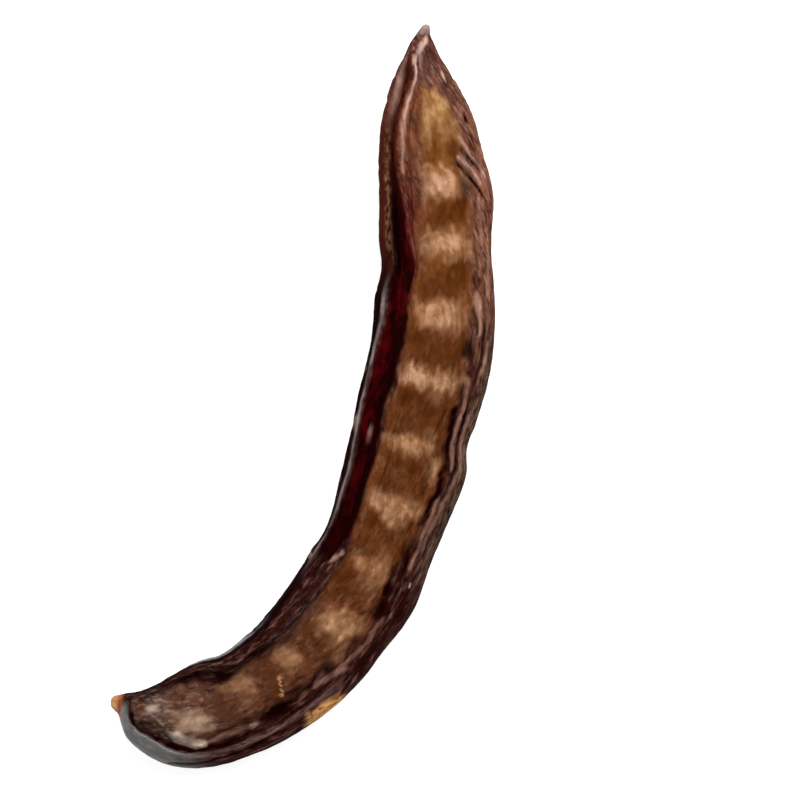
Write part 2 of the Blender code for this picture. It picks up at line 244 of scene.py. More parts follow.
# Pits, mostly along the edges of the face. They are dented, and painted black as shade.
SHADED_PIT_PATCHES = (
    (6.8, 5.2, 3.0, 1.6, 0.45), (11.4, 3.3, 1.2, 0.5, 0.45), (18.6, 3.1, 1.4, 0.4, 0.85),
    (30.6, 5.0, 2.6, 0.9, 0.55), (47.8, 4.2, 1.8, 0.3, 0.60), (58.4, 4.7, 2.0, 0.4, 0.90),
    (95.6, 4.7, 4.6, 0.4, 0.90), (102.3, 5.2, 1.5, 0.8, 1.00), (105.6, 5.0, 2.2, 0.8, 0.85),
    (104.0, 3.3, 5.0, 0.6, 0.60), (114.0, 3.4, 4.0, 0.6, 0.60), (119.0, 5.5, 1.5, 0.7, 0.80),
    (126.0, 5.8, 2.4, 0.4, 0.70), (130.2, 5.3, 3.0, 0.9, 1.00), (126.2, 9.5, 3.0, 0.9, 0.60),
    (124.0, 12.2, 4.4, 0.9, 0.90), (148.0, 12.0, 4.0, 0.8, 0.80), (99.0, 3.4, 3.4, 0.5, 0.60),
    (136.0, 8.8, 4.6, 0.4, 0.80), (142.4, 9.9, 2.8, 1.2, 0.70), (151.6, 9.6, 1.4, 1.0, 0.50),
)
# These and the ones that follow are on one side only: dark red in the left rim's hollow and
# on its upper lip.
RED_PATCHES = (
    (39.0, 10.7, 6.0, 0.9, 0.70), (50.0, 13.0, 7.0, 2.0, 0.75), (64.0, 13.3, 8.0, 1.0, 0.35),
    (60.0, 14.4, 14.0, 0.50, 0.85), (75.0, 14.4, 3.4, 0.50, 1.00), (77.6, 13.4, 4.0, 1.2, 0.35),
    (86.0, 14.3, 8.0, 0.40, 0.70), (98.0, 13.2, 5.0, 2.0, 0.25),
)
# Painted pink glints on both sides of the lower lip's edge.
PINK_GLINT_PATCHES = (
    (76.4, 14.2, 1.8, 0.13, 0.40), (75.2, 15.4, 1.4, 0.30, 0.50),
)
# Pale spots, partly pale dust and partly painted highlights on raised places.
PALE_DUST_AND_HIGHLIGHT_PATCHES = (
    (10.3, 3.4, 1.2, 0.3, 0.55), (100.0, 3.6, 0.6, 0.2, 0.40), (146.4, 5.5, 2.4, 0.48, 1.00),
    (143.9, 5.2, 1.6, 0.40, 1.00), (143.4, 6.5, 3.8, 0.8, 0.28), (134.4, 5.2, 0.9, 0.3, 0.50),
    (151.4, 7.4, 1.6, 0.5, 0.45),
)
# Where the right rim is rubbed through to the orange under its skin.
RUBBED_PATCHES = (
    (124.0, 1.9, 3.6, 1.7, 1.00),
)

# Each line below has its strength and its half width as a place, and then the distances and
# places that it runs through. Dark lines are creases, dented and painted black as shade.
DARK_LINES = (
    (1.0, 0.21, (24.2, 4.4), (27.6, 3.3)),
    (1.0, 0.26, (27.0, 5.1), (29.0, 4.5), (31.8, 3.5)),
    (0.6, 0.14, (20.4, 3.7), (24.0, 2.8)),
    (0.5, 0.14, (33.4, 4.4), (38.4, 3.9)),
    (0.5, 0.14, (40.0, 4.3), (45.4, 3.9)),
    (0.8, 0.16, (52.4, 4.5), (55.4, 4.2)),
    (0.9, 0.20, (54.4, 3.4), (58.5, 3.4), (62.0, 3.6), (70.0, 3.8), (74.0, 3.5), (77.0, 3.4),
     (80.0, 3.7), (85.0, 3.9)),
    (0.9, 0.18, (65.0, 4.6), (67.6, 4.4)),
    (1.0, 0.24, (69.0, 4.7), (72.0, 4.5), (74.0, 4.3), (79.0, 4.4), (81.0, 4.6), (84.0, 4.4),
     (90.0, 4.7)),
    (0.9, 0.26, (124.0, 3.2), (132.0, 3.1), (136.0, 2.9), (141.0, 2.8), (144.0, 2.4),
     (148.0, 2.0)),
    (0.8, 0.16, (120.0, 4.5), (132.0, 4.4), (140.0, 4.5)),
    (1.0, 0.30, (136.0, 4.7), (140.0, 4.7), (145.0, 4.7)),
    (1.0, 0.46, (144.0, 4.7), (148.0, 4.6), (151.0, 4.4), (153.2, 4.5), (154.4, 5.1)),
    (0.7, 0.14, (135.0, 5.9), (139.6, 5.7), (142.2, 5.4), (143.4, 5.0)),
)
# Light lines are the ridges beside them, worn and with painted highlight.
LIGHT_LINES = (
    (1.0, 0.20, (22.4, 4.5), (28.6, 2.8)),
    (1.0, 0.22, (25.6, 4.9), (29.8, 3.5)),
    (0.5, 0.15, (17.0, 3.6), (21.4, 2.8)),
    (0.5, 0.15, (33.0, 4.0), (39.0, 3.4)),
    (0.6, 0.26, (43.4, 2.5), (47.0, 2.9), (50.0, 3.2)),
    (0.9, 0.21, (50.4, 4.4), (52.0, 4.1), (55.4, 4.0)),
    (0.6, 0.18, (57.4, 2.9), (59.4, 3.0), (61.6, 3.2)),
    (0.5, 0.20, (63.6, 4.3), (68.0, 4.1), (71.0, 4.1), (75.0, 3.9), (79.4, 4.0)),
    (0.5, 0.22, (70.0, 3.3), (74.0, 3.1), (77.0, 2.9), (80.0, 3.3), (86.0, 3.6), (94.0, 3.8)),
    (0.5, 0.15, (85.6, 4.2), (90.0, 4.1), (97.4, 4.2)),
    (0.4, 0.22, (107.0, 4.5), (112.0, 4.3), (119.4, 4.9)),
    (0.5, 0.30, (117.0, 4.5), (120.0, 4.9), (122.4, 5.1)),
    (0.5, 0.26, (134.0, 5.2), (138.4, 5.3), (142.4, 5.3)),
    (0.5, 0.35, (16.0, 10.9), (20.0, 10.7), (27.0, 11.0)),
    (0.7, 0.30, (100.0, 11.3), (102.4, 11.8), (104.0, 12.6)),
)
# A thin line across the upper face is rubbed to orange as well.
RUBBED_LINES = (
    (0.75, 0.14, (126.0, 7.1), (126.6, 6.8), (127.4, 6.2)),
)
# How far a line fades out beyond its ends, in millimetres, and where its sides are gone and
# full, in half widths.
LINE_END = 0.8
LINE_EDGE = (1.5, 0.1)

# The depth or the height of each kind of relief, in millimetres.
RIM_CREASE_DEPTH = 0.20
RIM_WRINKLE_DEPTH = 0.08
FACE_WRINKLE_DEPTH = 0.08
FACE_LUMP_HEIGHT = 0.14
GRAIN_HEIGHT = 0.06
DARK_LINE_DEPTH = 0.32
LIGHT_LINE_HEIGHT = 0.14
PIT_DEPTH = 0.25
SEAM_DEPTH = 0.35

# Colours as linear light.
GOLDEN_BROWN = (0.120, 0.0395, 0.0085, 1.0)
FACE_BROWN = (0.090, 0.0255, 0.0062, 1.0)
END_BROWN = (0.064, 0.0245, 0.0145, 1.0)
DEEP_BROWN = (0.048, 0.0110, 0.001, 1.0)
# The tan and pale of the worn places over the seeds, lightened there as painted highlight.
BAND_TAN = (0.230, 0.108, 0.049, 1.0)
BAND_PALE = (0.295, 0.160, 0.092, 1.0)
BAND_GOLD = (0.280, 0.150, 0.060, 1.0)
# Pale dust, and painted highlights on raised spots.
PALE_DUST_AND_HIGHLIGHT = (0.445, 0.338, 0.262, 1.0)
RUBBED_ORANGE = (0.450, 0.215, 0.075, 1.0)
RIM_ROSE = (0.125, 0.046, 0.025, 1.0)
RIM_PLUM = (0.060, 0.0185, 0.0130, 1.0)
RIM_BROWN = (0.044, 0.0130, 0.0075, 1.0)
RIM_UMBER = (0.0185, 0.0034, 0.0022, 1.0)
# Mostly the rims' light ridges, which are wear with painted highlight.
RIM_BLUSH = (0.215, 0.108, 0.076, 1.0)
RIM_OLIVE = (0.050, 0.032, 0.018, 1.0)
RIM_MAUVE = (0.072, 0.036, 0.032, 1.0)
# Also the painted shade in pits, creases and on the lower lip's outer side.
RIM_BLACK = (0.0050, 0.0004, 0.0003, 1.0)
# Painted shade in the rims' creases.
RIM_CREASE_SHADE = (0.0190, 0.0022, 0.0012, 1.0)
LIP_BROWN = (0.115, 0.0350, 0.0150, 1.0)
LIP_RED = (0.062, 0.0080, 0.0045, 1.0)
# Painted pink highlight on the crests and lips.
PINK_HIGHLIGHT = (0.310, 0.172, 0.138, 1.0)
# Painted highlights and reflection along the lower lip's edge: lilac, silver and gold.
LIP_LILAC_HIGHLIGHT = (0.165, 0.122, 0.122, 1.0)
LIP_SILVER_REFLECTION = (0.160, 0.150, 0.150, 1.0)
LIP_GOLD_HIGHLIGHT = (0.180, 0.092, 0.042, 1.0)
# Painted shade on the lower lip's outer side, which faces down.
LIP_OUTSIDE_SHADE = (0.038, 0.0060, 0.0030, 1.0)
# Painted shade in the left rim's hollow, brown and black, among its own dark red.
HOLLOW_SHADE_BROWN = (0.036, 0.0070, 0.0034, 1.0)
HOLLOW_RED = (0.044, 0.0009, 0.0018, 1.0)
HOLLOW_SHADE_BLACK = (0.0060, 0.0005, 0.0006, 1.0)
STALK_GREY = (0.200, 0.150, 0.122, 1.0)
BEAK_TAN = (0.290, 0.150, 0.065, 1.0)
BEAK_RED = (0.220, 0.055, 0.022, 1.0)
# Painted reflection on the smooth turn round the blunt end.
END_REFLECTION_GREY = (0.080, 0.074, 0.070, 1.0)
END_OLIVE = (0.066, 0.036, 0.030, 1.0)
CRACK_BROWN = (0.016, 0.0050, 0.0032, 1.0)

# The marks that lie over the plain face and rims, from the lowest to the highest. Each has its
# mask, the strengths of the mask between which it comes in, and its colour.
MARKS = (
    # Darker brown between the seeds, partly painted shade.
    ("dark_and_shade", 0.05, 0.95, DEEP_BROWN),
    ("worn_gold", 0.05, 0.95, BAND_GOLD),
    # The worn places over the seeds, with painted highlight on their slopes that face the light.
    ("worn_and_highlight", 0.05, 0.95, BAND_TAN),
    ("worn_and_highlight", 0.55, 1.15, BAND_PALE),
    # The light ridges beside the creases, wear with painted highlight.
    ("blush", 0.05, 0.95, RIM_BLUSH),
    # Painted shade, black in the pits, the creases and the groove round the blunt end.
    ("painted_shade", 0.05, 0.95, RIM_BLACK),
    # Pale dust, and painted highlights on raised spots.
    ("pale", 0.05, 0.80, PALE_DUST_AND_HIGHLIGHT),
)

# Where the colours change along the pod, in millimetres from the stalk's end.
STALK_GREY_END = (0.8, 2.4)
FACE_BROWN_START = (26.0, 54.0)
FACE_END_START = (100.0, 140.0)
FACE_FLECKS_START = (50.0, 116.0)
RIM_ROSE_START = (8.0, 22.0)
RIM_BROWN_START = (40.0, 60.0)
RIM_UMBER_START = (84.0, 100.0)
RIDGE_MAUVE_START = (60.0, 110.0)
CREASES_START = (14.0, 26.0)
RIDGES_END = (50.0, 100.0)
RIM_SPECKS_START = (34.0, 66.0)
LIP_RED_START = (23.0, 34.0)
OUTSIDE_SHADE_START = (38.0, 48.0)
HOLLOW_SHADE_BLACK_START = (21.0, 35.0)
BEAK_START = (157.3, 158.0)
BEAK_TAN_START = (158.3, 159.2)

# The rims' creases slant by this many degrees near the stalk end, and turn straight here.
CREASE_SLANT = 28.0
STRAIGHT_CREASES_START = (50.0, 62.0)

# The range that most of a noise lies in.
NOISE_RANGE = (0.3, 0.7)

# The hollow is rougher than the rest by this much.
HOLLOW_ROUGHNESS = 0.35
ROUGHNESS = (0.45, 0.65)
COAT_WEIGHT = 0.40
COAT_ROUGHNESS = 0.30
MOTTLE_BUMP_STRENGTH = 0.35
MOTTLE_BUMP_HEIGHT = 0.20 * MM

# The camera looks straight down on the pod.
CAMERA_PLACE = (0.0177, -0.0007, 0.4088)
CAMERA_LENS = 100.0
CAMERA_CLIP = 0.01

# The floor glows a little, which keeps it pale and the pod's shadow faint.
FLOOR_HALF = 2.0
FLOOR_GREY = (0.40, 0.40, 0.40, 1.0)
FLOOR_ROUGHNESS = 0.9
FLOOR_GLOW = 0.72

# Each light has its name, its place and its size in metres, and its watts.
LIGHTS = (
    ("key light", (0.22, 0.50, 0.62), 0.60, 12.0),
    ("fill light", (-0.55, -0.35, 0.50), 0.50, 2.0),
)
STUDIO_COLOUR = (0.95, 0.97, 1.0, 1.0)
STUDIO_STRENGTH = 0.60


def smooth_curve(knots, values, at):
    """The values at the knots joined by a smooth curve, read at every place in at."""
    slopes = np.gradient(values, knots, axis=0)
    span = np.clip(np.searchsorted(knots, at, side="right") - 1, 0, len(knots) - 2)
    step = knots[span + 1] - knots[span]
    u = (at - knots[span]) / step
    if values.ndim > 1:
        step = step[:, None]
        u = u[:, None]
    start = (1 + 2 * u) * (1 - u) ** 2 * values[span] + u * (1 - u) ** 2 * step * slopes[span]
    end = u**2 * (3 - 2 * u) * values[span + 1] + u**2 * (u - 1) * step * slopes[span + 1]
    return start + end


def along(table, distance):
    """A table's value at every distance, which is in metres."""
    places, values = np.array(table).T
    return smooth_curve(places * MM, values, distance.ravel()).reshape(distance.shape)


def edge_distances(left, right):
    """How far along the pod each pair of margin points lies."""
    steps = np.linalg.norm(np.diff((left + right) / 2, axis=0), axis=1)
    return np.concatenate([[0.0], np.cumsum(steps)])


def ring_distances(rings, length):
    """How far along the pod each ring lies, without the two ends."""
    fine = np.linspace(0.0, length, CROWDING_STEPS)
    crowd = np.exp(-fine / CROWDED_LENGTH) + np.exp((fine - length) / CROWDED_LENGTH)
    count = np.cumsum(1 + CROWDING * crowd)
    shares = (count - count[0]) / (count[-1] - count[0])
    return np.interp(np.arange(1, rings) / rings, shares, fine)


def half_section(distance, half_width, rims, depth, setback):
    """The points of one half, from the right seam to the left one, for every ring."""
    right_rim, left_rim = rims
    points = []
    for inset, share in RIGHT_RIM:
        points.append((half_width - inset * MM * right_rim, np.full_like(depth, share)))
    right_foot = half_width - RIGHT_FOOT * right_rim
    left_foot = half_width - LEFT_FOOT * left_rim - FOOT_SETBACK * setback
    right_lift = along(RIGHT_FOOT_HEIGHT, distance) - FACE_HEIGHT
    left_lift = along(LEFT_FOOT_HEIGHT, distance) - FACE_HEIGHT
    for place in FACE_PLACES:
        x = right_foot - (right_foot + left_foot) * place
        near_right = max(0.0, 1 - place / FOOT_REACH) ** 1.5
        near_left = max(0.0, 1 - (1 - place) / FOOT_REACH) ** 1.5
        share = FACE_HEIGHT + right_lift * near_right + left_lift * near_left
        points.append((x, 1 - (1 - share) * depth))
    for inset, share in LEFT_RIM:
        x = inset * MM * left_rim + setback * share - half_width
        points.append((x, np.full_like(depth, share)))
    return np.array(points).transpose(2, 0, 1)


def section(distance, half_width, half_thickness, rims, form, depth, setback, around):
    """The closed cross-section of every ring, as this many points, and their places round it."""
    upper = half_section(distance, half_width, rims, depth, setback)
    lower = half_section(distance, half_width, rims, depth, 0 * setback)
    lower = lower[:, -2:0:-1] * (1, -1)
    controls = np.concatenate([upper, lower], axis=1)
    controls[:, :, 1] *= half_thickness[:, None]
    count = controls.shape[1]
    turns = np.arange(count) * math.tau / count
    oval = np.stack([np.cos(turns), np.sin(turns)], axis=1)
    oval = oval * np.stack([half_width, half_thickness], axis=1)[:, None]
    controls = oval + form[:, None, None] * (controls - oval)

    place = np.arange(around) * count / around
    index = np.floor(place).astype(int)
    u = (place - index)[None, :, None]
    before, here, after, beyond = (controls[:, (index + k) % count] for k in (-1, 0, 1, 2))
    linear = after - before
    square = 2 * before - 5 * here + 4 * after - beyond
    cube = 3 * (here - after) + beyond - before
    return here + 0.5 * u * (linear + u * (square + u * cube)), place


def seed_share(distance, across):
    """How far along its own seed's swelling each point is, from 0 to 1."""
    starts = np.array(SEED_STARTS) * MM
    place = np.clip(distance - SWELL_ARCH * across**2, starts[0], starts[-1])
    seed = np.clip(np.searchsorted(starts, place, side="right") - 1, 0, len(starts) - 2)
    return (place - starts[seed]) / (starts[seed + 1] - starts[seed])


def seed_swell(share, across):
    """How far the face swells over the seeds. Across is 0 in its middle and 1 at its feet."""
    wave = np.sin(math.pi * share ** (math.log(0.5) / math.log(SWELL_CREST)))
    return SWELL_HEIGHT * wave * (1 - across**2) ** SWELL_FULLNESS


def wander(points, length):
    """Smooth noise from about -1 to 1 at every point, in features of about this length."""
    flat = points.reshape(-1, 3) / length
    return np.array([noise.noise(Vector(point)) for point in flat]).reshape(points.shape[:-1])


def smooth_step(low, high, value):
    """0 below low, 1 above high, and a smooth change between them."""
    share = np.clip((value - low) / (high - low), 0, 1)
    return share * share * (3 - 2 * share)


def hump(centre, width, value):
    """A smooth hump, 1 at its centre and 0 from this width away on both sides."""
    return smooth_step(width, 0.0, np.abs(value - centre))


def between(value, rise, fall):
    """0 outside and 1 inside, rising over the first pair of numbers and falling over the second."""
    return smooth_step(*rise, value) * smooth_step(*fall[::-1], value)


class Skin:
    """The pod's skin as a grid of points, one row for each ring, and what each point knows."""

    def __init__(self):
        left = np.array(LEFT_MARGIN) * MM
        right = np.array(RIGHT_MARGIN) * MM
        knots = edge_distances(left, right)
        distance = ring_distances(RINGS, knots[-1])

        edge = smooth_curve(knots, left, distance)
        across = smooth_curve(knots, right, distance) - edge
        half_width = np.linalg.norm(across, axis=1) / 2
        half_thickness = along(THICKNESS, distance) * MM / 2
        shrink = np.minimum(1.0, half_width / FULL_RIM_HALF_WIDTH)
        rims = along(RIGHT_RIM_WIDTH, distance) * shrink, along(LEFT_RIM_WIDTH, distance) * shrink
        form = np.clip(along(FORM, distance), 0, 1)
        depth = np.clip(along(FACE_DEPTH, distance), 0, 1)
        setback = np.clip(along(LIP_SETBACK, distance), 0, None) * MM * shrink
        outline, place = section(
            distance, half_width, half_thickness, rims, form, depth, setback, AROUND
        )
        x = outline[:, :, 0]
        z = outline[:, :, 1]

        middle = (-along(SWELL_SHIFT, distance) * MM)[:, None]
        right_half = (half_width - RIGHT_FOOT * rims[0])[:, None] - middle
        left_half = (half_width - LEFT_FOOT * rims[1])[:, None] + middle
        reach = np.maximum(np.where(x > middle, right_half, left_half), MM)
        from_middle = np.clip(np.abs(x - middle) / reach, 0, 1)
        share = seed_share(distance[:, None], from_middle)
        z = z + np.sign(z) * depth[:, None] * seed_swell(share, from_middle)

        roll = np.radians(along(ROLL, distance))[:, None]
        level_x = x * np.cos(roll) + z * np.sin(roll)
        level_z = z * np.cos(roll) - x * np.sin(roll)
        low = level_x.min(axis=1, keepdims=True)
        high = level_x.max(axis=1, keepdims=True)
        from_left = ((level_x - low) / (high - low))[:, :, None]
        level = edge[:, None] + from_left * across[:, None]
        points = np.concatenate([level, level_z[:, :, None]], axis=2)
        height = level_z + UNEVEN_HEIGHT * wander(points, UNEVEN_LENGTH)
        height += along(CLEARANCE, distance)[:, None] * MM - height.min(axis=1, keepdims=True)
        points[:, :, 2] = np.maximum(height, 0.0)

        self.points = points
        self.ends = (left[0], left[-1])
        whole = np.ones_like(x)
        self.distance = distance[:, None] / MM * whole
        self.place = place[None, :] * whole
        self.half = np.minimum(self.place, 2 * LEFT_SEAM - self.place)
        self.upper = (self.place <= LEFT_SEAM).astype(float)
        self.straight = np.stack([self.distance, x / MM, z / MM], axis=2)

    def normals(self):
        """The direction that the skin faces at every point."""
        along_pod = np.gradient(self.points, axis=0)
        round_pod = np.roll(self.points, -1, axis=1) - np.roll(self.points, 1, axis=1)
        normals = np.cross(along_pod, round_pod)
        normals /= np.linalg.norm(normals, axis=2, keepdims=True) + 1e-12
        outwards = self.points - self.points.mean(axis=1, keepdims=True)
        return normals * np.sign((normals * outwards).sum())

    def noise(self, length, width, key=0.0):
        """Smooth noise in features of this length along the pod and this width across it."""
        scale = np.array([1 / length, 1 / width, 1 / width])
        return wander(self.straight * scale + key, 1.0)

    def read(self, table):
        """The value at every point of a table that runs along the pod."""
        return along(table, self.distance * MM)

    def raise_by(self, height):
        """Moves every point out by its height in millimetres, and keeps the pod above the floor."""
        self.points = self.points + self.normals() * height[:, :, None] * MM
        self.points[:, :, 2] = np.maximum(self.points[:, :, 2], 0.0)

    def mesh(self, values):
        """A closed mesh with these values at its points, fanned shut at each end."""
        rings, around = self.half.shape
        tips = [
            np.append(end, ring[:, 2].mean())
            for end, ring in zip(self.ends, (self.points[0], self.points[-1]))
        ]
        vertices = np.concatenate([self.points.reshape(-1, 3), tips])
        middle = (vertices.min(axis=0) + vertices.max(axis=0)) / 2
        vertices[:, :2] -= middle[:2]

        here = np.arange(rings * around).reshape(rings, around)
        beside = np.roll(here, -1, axis=1)
        quads = np.stack([here[:-1], here[1:], beside[1:], beside[:-1]], axis=2).reshape(-1, 4)
        first_tip = rings * around
        fans = [(first_tip, a, b) for a, b in zip(here[0], beside[0])]
        fans += [(first_tip + 1, b, a) for a, b in zip(here[-1], beside[-1])]
        mesh = bpy.data.meshes.new("pod_skin")
        mesh.from_pydata(vertices.tolist(), [], quads.tolist() + fans)
        mesh.shade_smooth()
        for name, value in values.items():
            rows = value.reshape(rings * around, -1)
            ends = [value[0].mean(axis=0).ravel(), value[-1].mean(axis=0).ravel()]
            rows = np.concatenate([rows, ends])
            kind, field = ("FLOAT_VECTOR", "vector") if rows.shape[1] == 3 else ("FLOAT", "value")
            attribute = mesh.attributes.new(name, kind, "POINT")
            attribute.data.foreach_set(field, rows.astype(np.float32).ravel())
        return mesh


def ridges(value, sharpness=3):
    """Turns smooth noise into sharp creases, 1 in the middle of each and 0 between them."""
    return np.clip(1 - sharpness * np.abs(value), 0, 1)


def patches(skin, table, place):
    """How far each point is inside the patches of a table, from 0 to 1."""
    ragged = 0.42 * skin.noise(1.8, 1.1, 131) + 0.24 * skin.noise(5.0, 1.0, 71)
    total = np.zeros_like(skin.distance)
    for middle, centre, length, width, strength in table:
        off_along = np.abs(skin.distance - middle) / length
        off_across = np.abs(place - centre) / width
        reach = off_along**PATCH_SQUARENESS + off_across**PATCH_SQUARENESS
        reach = reach ** (1 / PATCH_SQUARENESS)
        total = np.maximum(total, strength * smooth_step(*PATCH_EDGE, reach + ragged))
    return total


def lines(skin, table):
    """How far each point is on the lines of a table, from 0 to 1."""
    wavy = skin.half + 0.18 * skin.noise(3.0, 30.0, 53)
    broken = 0.60 * skin.noise(1.2, 0.6, 139)
    total = np.zeros_like(skin.distance)
    for strength, width, *points in table:
        knots, places = np.array(points).T
        beyond = np.maximum(knots[0] - skin.distance, skin.distance - knots[-1])
        off_along = np.clip(beyond, 0, None) / LINE_END
        off_across = np.abs(wavy - np.interp(skin.distance, knots, places)) / width
        reach = np.hypot(off_along, off_across)
        total = np.maximum(total, strength * smooth_step(*LINE_EDGE, reach + broken))
    return total


def skin_relief(skin):
    """The height of the creases, wrinkles and seams at every point, in millimetres."""
    body = between(skin.distance, (3, 12), (154, 159))
    rims = smooth_step(4.9, 4.3, skin.half) + smooth_step(9.2, 10.0, skin.half)
    rims *= 1 - 0.8 * smooth_step(140, 150, skin.distance)
    face = between(skin.half, (4.7, 5.3), (9.0, 9.6))
    hollow = smooth_step(12.8, 13.6, skin.half)

    height = -RIM_CREASE_DEPTH * rims * (1 - hollow) * ridges(skin.noise(16, 1.6), 4)
    height -= RIM_WRINKLE_DEPTH * rims * ridges(skin.noise(7, 0.8, 11))
    height -= FACE_WRINKLE_DEPTH * face * ridges(skin.noise(6, 1.3, 23))
    height += FACE_LUMP_HEIGHT * face * skin.noise(3.0, 1.6, 31)
    height += GRAIN_HEIGHT * skin.noise(1.2, 0.8, 41)
    height -= DARK_LINE_DEPTH * lines(skin, DARK_LINES)
    height += LIGHT_LINE_HEIGHT * lines(skin, LIGHT_LINES)
    height -= PIT_DEPTH * patches(skin, SHADED_PIT_PATCHES, skin.half)
    height -= SEAM_DEPTH * smooth_step(13.2, 14.0, skin.half)
    return height * body


def end_groove(skin):
    """How far along the pod the groove at the blunt end lies, for the place of every point."""
    return np.interp(skin.half, *np.array(END_GROOVE).T)


def face_mask(skin, ragged):
    """Where the upper and the lower face have their own colour, up to the groove round them."""
    right_edge = skin.read(FACE_RIGHT_EDGE)
    left_edge = skin.read(FACE_LEFT_EDGE)
    end_edge = end_groove(skin)
    left_soft = 0.5 + 0.5 * smooth_step(48, 38, skin.distance)
    face = smooth_step(right_edge - 0.6, right_edge + 0.6, skin.half + 1.6 * ragged)
    face *= smooth_step(left_edge + left_soft, left_edge - left_soft, skin.half + 1.4 * ragged)
    face *= smooth_step(11.5, 13.5, skin.distance + 2 * skin.noise(4, 3.5, 73))
    return face * smooth_step(end_edge + 0.2, end_edge - 0.6, skin.distance)


def pink_highlight_mask(skin, ragged, fine):
    """The pink line over the stalk end's crest and along the upper lip, and the pink flecks.

    All of them are painted highlights.
    """
    crest = np.interp(skin.half, *np.array(STALK_CREST).T)
    pink_highlight = hump(crest, 1.5, skin.distance + 0.5 * fine)
    pink_highlight *= between(skin.half, (4.0, 6.0), (11.4, 11.9))
    line = hump(11.1, 0.38, skin.place + 0.3 * ragged) * between(skin.distance, *PINK_HIGHLIGHT_STRETCH)
    pink_highlight = np.maximum(pink_highlight, line)
    pink_highlight += 0.6 * hump(14.6, 0.5, skin.place) * hump(11, 8, skin.distance)
    pink_highlight = np.maximum(pink_highlight, patches(skin, PINK_GLINT_PATCHES, skin.place))
    return np.clip(pink_highlight * (0.8 + 0.6 * skin.noise(3, 1.0, 101)), 0, 1)


def left_rim_masks(skin, ragged):
    """The hollow between the left rim's lips, and the colours of the two lips.

    The lips carry painted highlights, reflection and shade.
    """
    distance = skin.distance
    start = skin.read(HOLLOW_START)
    fine = skin.noise(1.5, 0.8, 91)
    lip = skin.place - skin.read(LIP_LINE) + 0.06 * fine + 0.08 * ragged

    hollow = smooth_step(start - 0.2, start + 0.3, skin.place + 0.5 * ragged)
    hollow *= smooth_step(-0.15, -0.35, lip) * between(distance, *HOLLOW_STRETCH)
    deep = smooth_step(start + 0.2, start + 1.2, skin.place + 1.2 * ragged)
    deep = np.maximum(deep, smooth_step(60, 52, distance))
    inner = between(skin.place, (8.0, 8.6), (13.6, 14.2))
    # Painted highlights along the lower lip's edge.
    lilac_highlight = hump(0.0, 0.20 + 0.06 * fine, lip) * between(distance, *LILAC_HIGHLIGHT_STRETCH)
    lilac_highlight *= 0.35 + 0.65 * smooth_step(-0.5, 0.1, skin.noise(4.0, 3.0, 113))
    # Painted shade on the lower lip's outer side, and painted silver reflection on its edge.
    outside_edge = -0.3 - 0.3 * between(distance, *LOW_OUTSIDE_STRETCH)
    outside = smooth_step(outside_edge, outside_edge + 0.2, lip)
    outside *= smooth_step(19.5, 18.5, skin.place)
    silver_reflection = smooth_step(0.1, 0.4, lip) * smooth_step(18.5, 17.5, skin.place)
    return {
        "hollow": hollow,
        "red": patches(skin, RED_PATCHES, skin.place) * deep,
        "inner": inner * between(distance, *INNER_LIP_STRETCH),
        "lilac_highlight": lilac_highlight,
        "lip_gold_highlight": hump(-0.12, 0.30, lip) * between(distance, *GOLD_HIGHLIGHT_STRETCH),
        "outside": outside * (0.50 + 0.50 * smooth_step(12, 22, distance)),
        "silver_reflection": silver_reflection * between(distance, *SILVER_REFLECTION_STRETCH),
        "pink_highlight": pink_highlight_mask(skin, ragged, fine),
    }


def right_rim_masks(skin, ragged):
    """The colours of the right rim, and its smooth grey turn round the blunt end.

    The grey is a painted reflection.
    """
    distance = skin.distance
    end_edge = end_groove(skin)
    olive = smooth_step(3.5, 2.7, skin.half + ragged) * between(distance, *OLIVE_STRETCH)
    mauve = hump(3.7, 0.8, skin.half + 0.5 * ragged) * smooth_step(114, 124, distance)
    mauve = np.maximum(mauve, 0.5 * hump(3.9, 0.7, skin.half + ragged) * hump(78, 16, distance))
    plum = between(skin.half, (7.0, 9.0), (10.4, 11.2)) * between(distance, *PLUM_STRETCH)
    mauve = np.maximum(mauve, plum * (0.55 + 1.5 * ragged))
    # Painted reflection: grey on the smooth turn round the blunt end.
    grey = smooth_step(140, 150, distance) * smooth_step(4.6, 4.0, skin.half)
    grey = np.maximum(grey, smooth_step(end_edge + 0.2, end_edge + 0.8, distance)) * skin.upper
    grey *= smooth_step(158.4, 157.4, distance) * smooth_step(10.0, 6.5, skin.half)
    return {
        "olive": np.clip(olive, 0, 1),
        "mauve": np.clip(mauve, 0, 1),
        "end_reflection": grey,
    }


def painted_shade_mask(skin):
    """The black pits and creases, and the groove round the blunt end of the face.

    The black is painted shade.
    """
    groove = hump(end_groove(skin) - 0.2, 1.1, skin.distance)
    groove *= between(skin.half, (4.2, 4.9), (6.4, 8.2))
    painted_shade = np.maximum(patches(skin, SHADED_PIT_PATCHES, skin.half), lines(skin, DARK_LINES))
    return np.maximum(painted_shade, groove)


